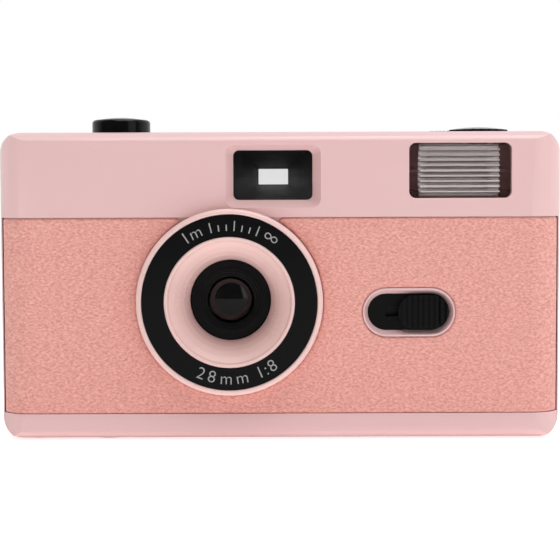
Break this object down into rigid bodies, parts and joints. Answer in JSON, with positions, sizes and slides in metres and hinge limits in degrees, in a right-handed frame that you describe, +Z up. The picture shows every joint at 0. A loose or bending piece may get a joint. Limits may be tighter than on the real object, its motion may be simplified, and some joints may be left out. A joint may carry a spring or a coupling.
{
  "type": "compact film camera",
  "caption": "Focus-free compact film camera with built-in flash, leatherette wrap, see-through viewfinder, thumbwheel advance, rewind crank and hinged back door.",
  "frame": {"origin": "middle of the bounding box's footprint, on the flat bottom that the camera stands on", "axes": "+X to the right seen from the front, along the width; -Y out of the lens, +Y towards the user; +Z up"},
  "size_m": [0.119, 0.0364, 0.0681],
  "materials": {
    "pink_shell": "glossy injection-moulded ABS, pale pink",
    "pink_bezel": "glossy moulded ABS, pale pink, with fine turned lines in the funnel",
    "leatherette": "salmon-pink embossed PVC leatherette",
    "black_gloss": "glossy black moulded ABS",
    "black_matte": "matt black moulded ABS",
    "chassis_black": "matt black polycarbonate, light tight",
    "clear_lens": "clear moulded acrylic optics",
    "spring_steel": "bright spring steel and wire",
    "stamped_steel": "zinc-plated stamped steel",
    "reflector": "bright vacuum-metallised reflector",
    "circuit_board": "green coated circuit board",
    "capacitor_sleeve": "heat-shrunk sleeve of the capacitor",
    "ferrite": "taped ferrite transformer",
    "copper_coil": "lacquered copper winding",
    "brass_contact": "brass sliding contact",
    "cell": "plain sleeve of a small dry cell",
    "dial_white": "off-white moulded dial",
    "smoked_window": "smoked acrylic window",
    "amber_lamp": "amber translucent lamp",
    "foam": "black light-sealing foam",
    "enamel_black": "black enamelled steel plate"
  },
  "bodies": {
    "camera_body": {"front_cover": "pink_shell", "rear_cover": "pink_shell", "chassis": "chassis_black", "dark_box": "chassis_black", "leatherette": "leatherette", "lens_bezel": "pink_bezel", "name_ring": "black_gloss", "lens_barrel": "black_matte", "front_lens": "clear_lens", "lens_spacer": "black_matte", "rear_lens": "clear_lens", "shutter_cover": "black_matte", "blade_spring": "spring_steel", "finder_tube": "black_matte", "finder_front_lens": "clear_lens", "finder_eye_lens": "clear_lens", "eyepiece_frame": "black_gloss", "flash_window": "clear_lens", "flash_reflector": "reflector", "xenon_tube": "clear_lens", "flash_board": "circuit_board", "flash_capacitor": "capacitor_sleeve", "flash_transformer": "ferrite", "trigger_coil": "copper_coil", "switch_guide": "black_matte", "battery": "cell", "battery_contact_plus": "stamped_steel", "battery_contact_minus": "spring_steel", "button_spring": "spring_steel", "mechanism_plate": "enamel_black", "counter_window": "clear_lens", "rewind_button_spring": "spring_steel", "hinge_pin": "stamped_steel", "strap_bar": "stamped_steel", "ready_lamp": "amber_lamp", "case_screws": "stamped_steel", "small_screws": "stamped_steel"},
    "switch_knob": {"flash_switch_knob": "black_gloss", "switch_contact": "brass_contact"},
    "button": {"shutter_button": "black_gloss"},
    "release_lever_body": {"release_lever": "stamped_steel"},
    "advance": {"advance_wheel": "black_gloss", "takeup_spool": "black_matte"},
    "pawl": {"ratchet_pawl": "stamped_steel"},
    "sprocket_shaft": {"sprocket": "black_matte"},
    "counter": {"counter_disc": "dial_white"},
    "rewind_lift": {"rewind_clip": "spring_steel"},
    "rewind_crank": {"rewind_fork": "black_matte", "rewind_disc": "black_gloss"},
    "crank_lever": {"rewind_lever": "black_gloss"},
    "release_rod": {"rewind_button": "black_matte"},
    "door": {"back_door": "pink_shell", "film_window": "smoked_window", "pressure_spring": "spring_steel", "light_seals": "foam"},
    "film_plate": {"pressure_plate": "enamel_black"},
    "latch": {"door_latch": "black_gloss"},
    "battery_flap": {"battery_door": "pink_shell"},
    "blade": {"shutter_blade": "stamped_steel"},
    "striker": {"shutter_striker": "stamped_steel"}
  },
  "joints": [
    {"name": "flash_switch_slide", "type": "slide", "parent": "camera_body", "child": "switch_knob", "axis": [-1, 0, 0], "range_m": [0, 0.0058]},
    {"name": "shutter_button_press", "type": "slide", "parent": "camera_body", "child": "button", "axis": [0, 0, -1], "range_m": [0, 0.0015], "stiffness_N_per_m": 400, "springref_m": -0.001, "deforming": ["button_spring"]},
    {"name": "release_lever_turn", "type": "hinge", "parent": "camera_body", "child": "release_lever_body", "pos_m": [-0.0155, -0.0026, 0.0586], "axis": [0, -1, 0], "range_deg": [0, 5]},
    {"name": "advance_wheel_turn", "type": "hinge", "parent": "camera_body", "child": "advance", "pos_m": [-0.0416, 0.003, 0.054], "axis": [0, 0, 1], "continuous": true},
    {"name": "ratchet_pawl_turn", "type": "hinge", "parent": "camera_body", "child": "pawl", "pos_m": [-0.0403, -0.0102, 0.0527], "axis": [0, 0, -1], "range_deg": [0, 12]},
    {"name": "sprocket_turn", "type": "hinge", "parent": "camera_body", "child": "sprocket_shaft", "pos_m": [-0.0246, 0.00415, 0.05], "axis": [0, 0, 1], "continuous": true},
    {"name": "counter_turn", "type": "hinge", "parent": "camera_body", "child": "counter", "pos_m": [-0.0169, 0.003, 0.061], "axis": [0, 0, 1], "continuous": true},
    {"name": "rewind_pull", "type": "slide", "parent": "camera_body", "child": "rewind_lift", "axis": [0, 0, 1], "range_m": [0, 0.007]},
    {"name": "rewind_crank_turn", "type": "hinge", "parent": "rewind_lift", "child": "rewind_crank", "pos_m": [0.0431, 0.0002, 0.06], "axis": [0, 0, 1], "continuous": true},
    {"name": "rewind_lever_fold", "type": "hinge", "parent": "rewind_crank", "child": "crank_lever", "pos_m": [0.0476, 0.0002, 0.065], "axis": [0, 1, 0], "range_deg": [0, 180]},
    {"name": "rewind_button_press", "type": "slide", "parent": "camera_body", "child": "release_rod", "axis": [0, 0, 1], "range_m": [0, 0.0012], "stiffness_N_per_m": 300, "springref_m": -0.001, "deforming": ["rewind_button_spring"]},
    {"name": "back_door_hinge", "type": "hinge", "parent": "camera_body", "child": "door", "pos_m": [-0.0578, 0.0092, 0.027], "axis": [0, 0, 1], "range_deg": [0, 100]},
    {"name": "pressure_plate_float", "type": "slide", "parent": "door", "child": "film_plate", "axis": [0, -1, 0], "range_m": [0, 0.0003], "stiffness_N_per_m": 300, "springref_m": 0.0004, "deforming": ["pressure_spring"]},
    {"name": "door_latch_slide", "type": "slide", "parent": "camera_body", "child": "latch", "axis": [0, 0, 1], "range_m": [0, 0.0025], "stiffness_N_per_m": 300, "springref_m": -0.001},
    {"name": "battery_door_hinge", "type": "hinge", "parent": "camera_body", "child": "battery_flap", "pos_m": [0, 0.0012, 0.00095], "axis": [1, 0, 0], "range_deg": [0, 80]},
    {"name": "shutter_blade_swing", "type": "hinge", "parent": "camera_body", "child": "blade", "pos_m": [-0.0026, -0.0035, 0.041], "axis": [0, 1, 0], "range_deg": [0, 38], "stiffness_Nm_per_rad": 0.0004, "springref_deg": -17.19},
    {"name": "striker_swing", "type": "hinge", "parent": "camera_body", "child": "striker", "pos_m": [-0.0175, -0.004, 0.0436], "axis": [0, 1, 0], "range_deg": [0, 15], "stiffness_Nm_per_rad": 0.0004, "springref_deg": -17.19}
  ],
  "couplings": [
    {"joint": "release_lever_turn", "follows": "shutter_button_press", "rad_per_m": 57},
    {"joint": "ratchet_pawl_turn", "follows": "rewind_button_press", "rad_per_m": 166.67},
    {"joint": "sprocket_turn", "follows": "advance_wheel_turn", "ratio": 0.8595},
    {"joint": "counter_turn", "follows": "advance_wheel_turn", "ratio": -0.02149}
  ]
}
